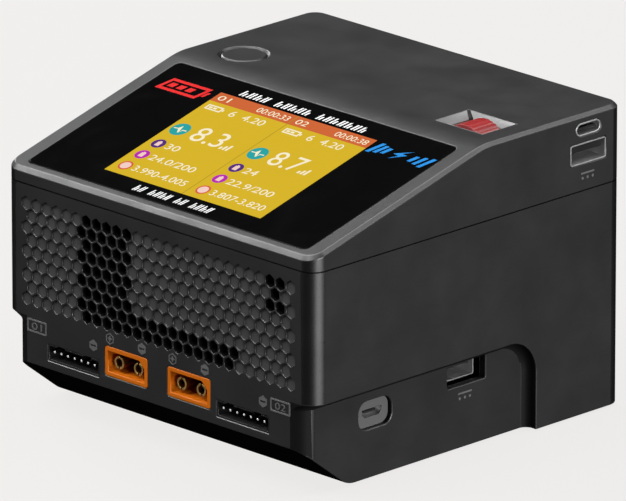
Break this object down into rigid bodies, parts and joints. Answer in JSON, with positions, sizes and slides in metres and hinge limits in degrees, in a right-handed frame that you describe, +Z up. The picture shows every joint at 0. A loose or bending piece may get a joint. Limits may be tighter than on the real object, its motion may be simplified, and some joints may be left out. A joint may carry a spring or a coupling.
{
  "type": "balance battery charger",
  "caption": "Compact bench battery charger with a sloping screen, honeycomb front grille, front output and balance sockets, side USB sockets, a press button, a scroll wheel and a rear fan.",
  "frame": {"origin": "on the ground, under the middle of the case's footprint", "axes": "+Y from the front face to the back, +Z up, +X to the right seen from the front"},
  "size_m": [0.114, 0.114, 0.0831],
  "materials": {
    "shell": "fine moulded texture",
    "shell_low": "fine moulded texture",
    "rubber": "matte",
    "black_steel": "black oxide",
    "steel": "plain",
    "glass": "gloss, printed black behind",
    "foam": "foam tape",
    "lcd": "lit panel",
    "silicone": "soft",
    "red_plastic": "satin",
    "black_plastic": "satin",
    "grey_plastic": "satin",
    "pale_plastic": "satin",
    "green_plastic": "satin",
    "orange_plastic": "satin nylon",
    "yellow_plastic": "satin nylon",
    "gold": "gold plated",
    "tin": "tin plated",
    "white_plastic": "satin",
    "board": "solder mask",
    "sheet": "insulating film",
    "capacitor": "sleeve",
    "ferrite": "sintered",
    "copper": "enamelled wire",
    "tape": "insulating tape",
    "aluminium": "extruded",
    "package": "moulded",
    "brass": "machined"
  },
  "bodies": {
    "root": {"main_housing": "shell", "front_panel": "shell", "top_cover": "shell", "base_cover": "shell_low", "rubber_feet": "rubber", "case_screws": "black_steel", "cover_screws": "steel", "screen_glass": "glass", "screen_tape": "foam", "lcd_panel": "lcd", "button_dome": "silicone", "button_switch": "steel", "wheel_dome": "silicone", "wheel_bracket": "grey_plastic", "wheel_surround": "pale_plastic", "control_board": "board", "output_socket_left": "orange_plastic", "output_socket_right": "orange_plastic", "output_pins": "gold", "balance_socket_left": "black_plastic", "balance_socket_right": "black_plastic", "balance_pins": "tin", "usb_c_port": "tin", "usb_a_upper": "tin", "usb_a_lower": "tin", "micro_usb_port": "tin", "usb_tongues": "white_plastic", "ac_inlet": "black_plastic", "ac_inlet_pins": "tin", "dc_inlet": "yellow_plastic", "dc_inlet_pins": "gold", "main_board": "board", "psu_board": "board", "divider_sheet": "sheet", "bulk_capacitor": "capacitor", "output_capacitors": "capacitor", "transformer_core": "ferrite", "transformer_winding": "tape", "choke_core": "ferrite", "choke_winding": "copper", "power_inductors": "ferrite", "heatsink": "aluminium", "mosfets": "package", "rectifier": "package", "fuse": "white_plastic", "board_standoffs": "brass", "board_screws": "steel", "fan_frame": "black_plastic", "fan_stator": "copper", "fan_screws": "black_steel", "inlet_screws": "black_steel"},
    "power_button": {"round_button": "shell"},
    "wheel_carriage": {"wheel_carriage": "black_plastic", "wheel_encoder": "green_plastic"},
    "scroll_wheel": {"scroll_wheel": "red_plastic", "wheel_axle": "steel"},
    "fan_rotor": {"fan_rotor": "black_plastic", "fan_shaft": "steel"}
  },
  "joints": [
    {"name": "button_press", "type": "slide", "parent": "root", "child": "power_button", "axis": [0, 0, -1], "range_m": [0, 0.0007], "stiffness_N_per_m": 1500, "deforming": ["button_dome"]},
    {"name": "wheel_press", "type": "slide", "parent": "root", "child": "wheel_carriage", "axis": [0, 0, -1], "range_m": [0, 0.0005], "stiffness_N_per_m": 2500, "deforming": ["wheel_dome"]},
    {"name": "wheel_spin", "type": "hinge", "parent": "wheel_carriage", "child": "scroll_wheel", "pos_m": [0.042, 0.0172, 0.0756], "axis": [0, 1, 0], "continuous": true},
    {"name": "fan_spin", "type": "hinge", "parent": "root", "child": "fan_rotor", "pos_m": [-0.024, 0.047, 0.0315], "axis": [0, 1, 0], "continuous": true}
  ]
}
